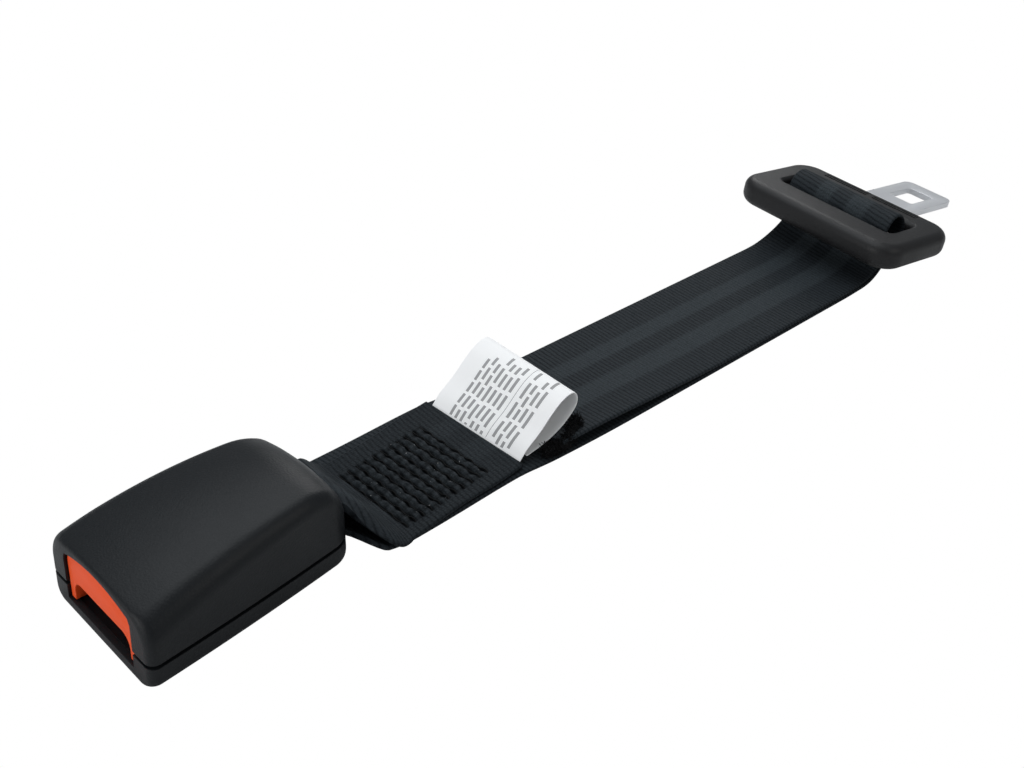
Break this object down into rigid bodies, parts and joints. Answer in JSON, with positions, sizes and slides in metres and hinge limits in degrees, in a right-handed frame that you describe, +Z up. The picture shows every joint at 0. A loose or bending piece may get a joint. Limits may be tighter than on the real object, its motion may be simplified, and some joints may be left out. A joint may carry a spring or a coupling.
{
  "type": "seat belt extender",
  "caption": "Seat belt extender: black end-release buckle with an orange button, looped webbing with a stitched block and a bare folded label, and a steel tongue in a black handle.",
  "frame": {"origin": "on the surface that the part lies on, under the buckle, 31 mm behind its front", "axes": "+X along the strap from the buckle's mouth to the tongue's tip, +Z up"},
  "size_m": [0.3751, 0.0766, 0.0284],
  "materials": {
    "black_plastic": "fine grained",
    "dark_plastic": "smooth",
    "orange_plastic": "satin",
    "steel": "satin plated",
    "spring_steel": "bright",
    "webbing": "woven",
    "thread": "twisted",
    "label_cloth": "smooth woven"
  },
  "bodies": {
    "buckle": {"top_cover": "black_plastic", "bottom_cover": "black_plastic", "buckle_frame": "steel", "anchor_pin": "steel", "anchor_sleeve": "dark_plastic", "latch_pin": "steel", "ejector_spring": "spring_steel", "latch_spring": "spring_steel", "button_spring_far": "spring_steel", "button_spring_near": "spring_steel"},
    "button": {"release_button": "orange_plastic"},
    "ejector": {"ejector": "dark_plastic"},
    "latch": {"latch": "steel"},
    "strap": {"webbing": "webbing", "block_stitching": "thread", "underside_stitching": "thread", "end_tack": "thread", "label": "label_cloth"},
    "tongue": {"tongue_plate": "steel", "tongue_handle": "black_plastic"}
  },
  "joints": [
    {"name": "button_press", "type": "slide", "parent": "buckle", "child": "button", "axis": [1, 0, 0], "range_m": [0, 0.005], "stiffness_N_per_m": 1200, "springref_m": -0.003, "deforming": ["button_spring_far", "button_spring_near"]},
    {"name": "ejector_slide", "type": "slide", "parent": "buckle", "child": "ejector", "axis": [1, 0, 0], "range_m": [0, 0.0113], "stiffness_N_per_m": 150, "springref_m": -0.004, "deforming": ["ejector_spring"]},
    {"name": "latch_swing", "type": "hinge", "parent": "buckle", "child": "latch", "pos_m": [0.00731, 0, 0.012], "axis": [0, -1, 0], "range_deg": [0, 15], "deforming": ["latch_spring"]},
    {"name": "strap_swing", "type": "hinge", "parent": "buckle", "child": "strap", "pos_m": [0.023, 0, 0.0108], "axis": [0, -1, 0], "range_deg": [-4, 14]},
    {"name": "tongue_swing", "type": "hinge", "parent": "strap", "child": "tongue", "pos_m": [0.285, 0, 0.0198], "axis": [0.0831, 0.9954, 0.0486], "range_deg": [-20, 45]}
  ],
  "couplings": [
    {"joint": "latch_swing", "follows": "ejector_slide", "rad_per_m": 23.1}
  ]
}
